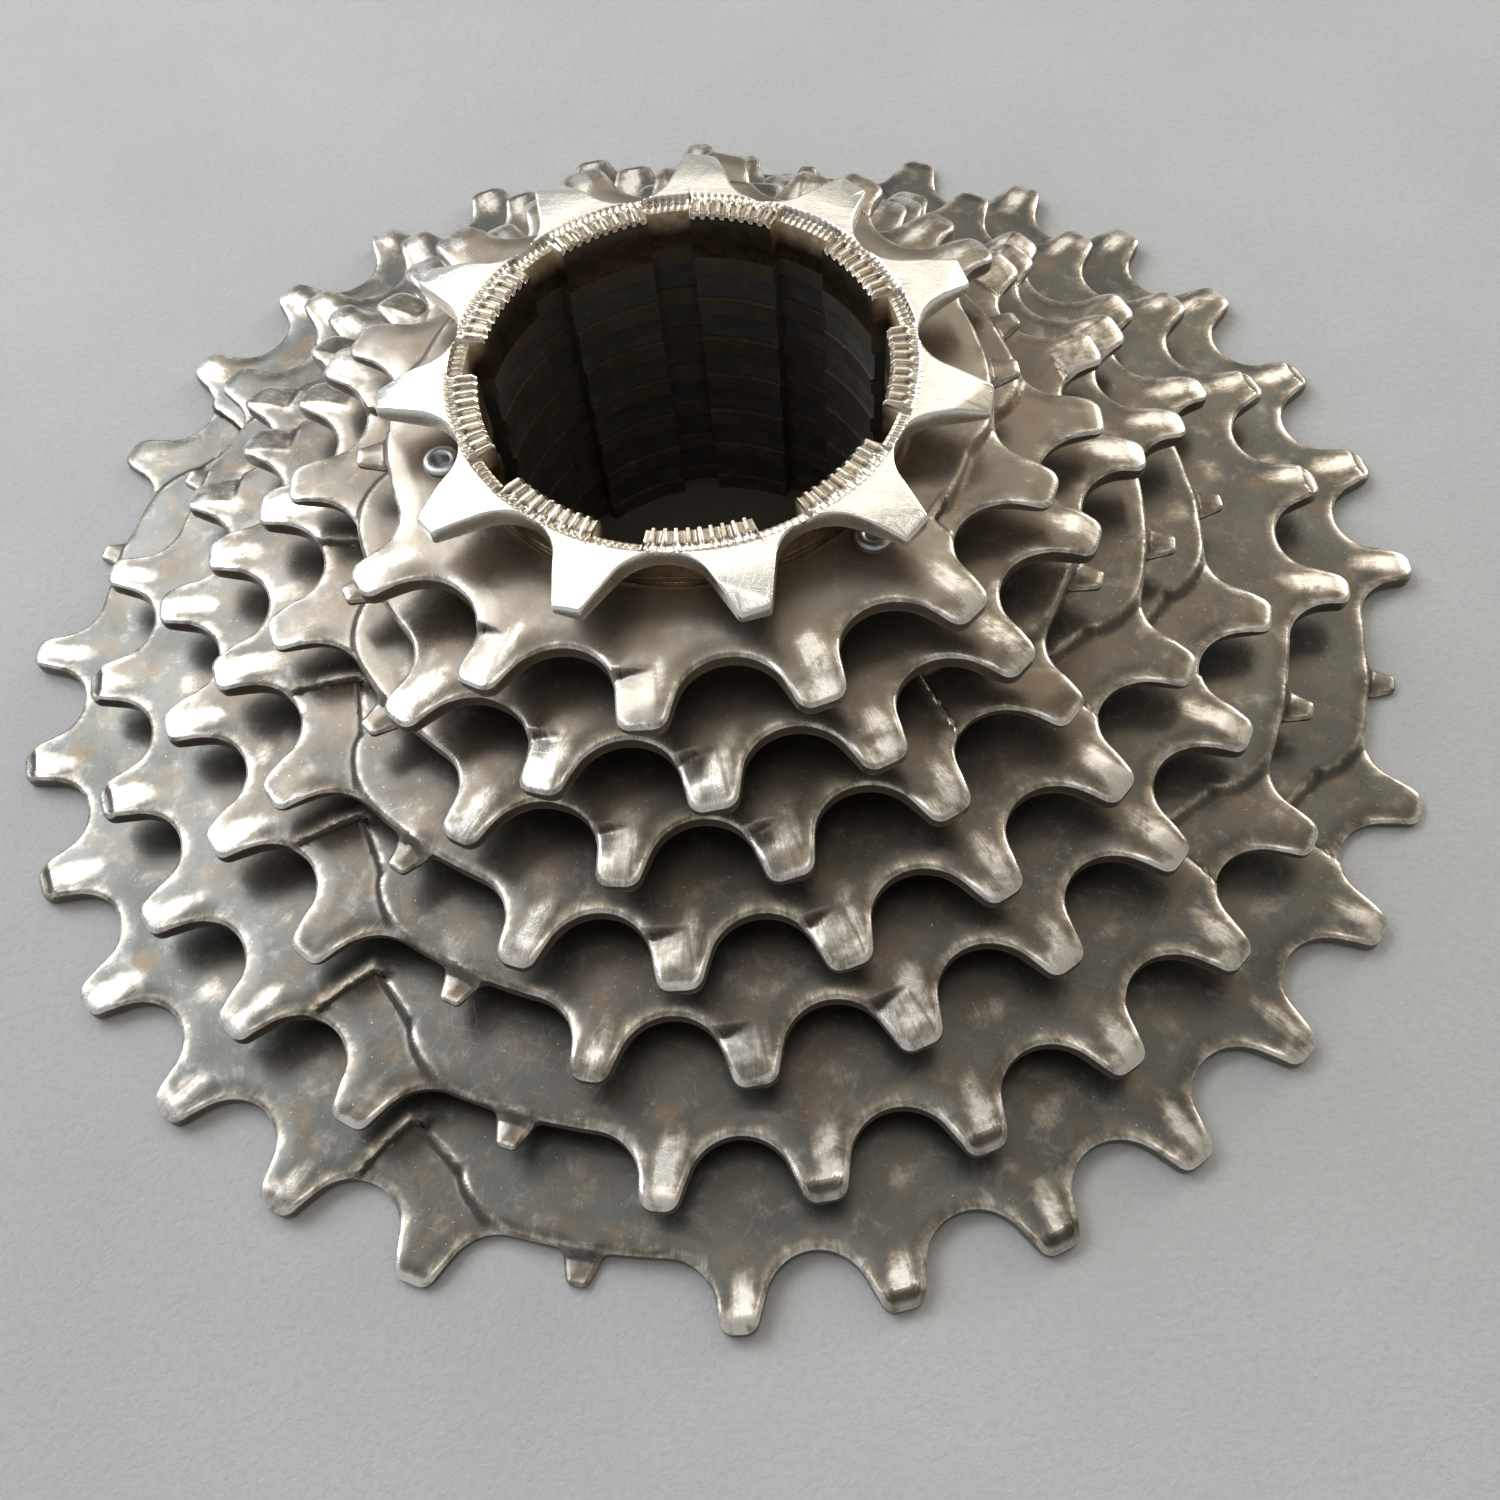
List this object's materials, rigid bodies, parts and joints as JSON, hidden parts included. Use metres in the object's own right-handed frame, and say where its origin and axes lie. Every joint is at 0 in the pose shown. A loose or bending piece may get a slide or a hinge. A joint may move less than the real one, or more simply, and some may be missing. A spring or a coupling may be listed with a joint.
{
  "type": "cassette sprocket",
  "caption": "Riveted stack of toothed steel rings in falling size on a splined bore, with a loose smallest ring on top, for a bicycle rear hub.",
  "frame": {"origin": "on the axis of the splined bore, at the back face of the largest sprocket", "axes": "+Z along the bore from the largest sprocket to the smallest, which is away from the wheel; the shift teeth fix X and Y"},
  "size_m": [0.1326, 0.1326, 0.0354],
  "materials": {
    "worn_steel": "worn nickel plate, smoky satin with bright edges",
    "pale_steel": "worn nickel plate, bright satin",
    "black_resin": "matt moulded resin",
    "rivet_steel": "pale zinc plate"
  },
  "bodies": {
    "riveted_stack": {"sprocket_32t": "worn_steel", "sprocket_28t": "worn_steel", "sprocket_24t": "worn_steel", "sprocket_21t": "worn_steel", "sprocket_18t": "worn_steel", "sprocket_16t": "worn_steel", "sprocket_14t": "worn_steel", "spacer_32_28": "black_resin", "spacer_28_24": "black_resin", "spacer_24_21": "black_resin", "spacer_21_18": "black_resin", "spacer_18_16": "black_resin", "spacer_16_14": "black_resin", "rivet_1": "rivet_steel", "rivet_2": "rivet_steel", "rivet_3": "rivet_steel"},
    "top_sprocket": {"sprocket_11t": "pale_steel"}
  },
  "joints": [
    {"name": "top_sprocket_lift", "type": "slide", "parent": "riveted_stack", "child": "top_sprocket", "axis": [0, 0, 1], "range_m": [0, 0.03]}
  ]
}
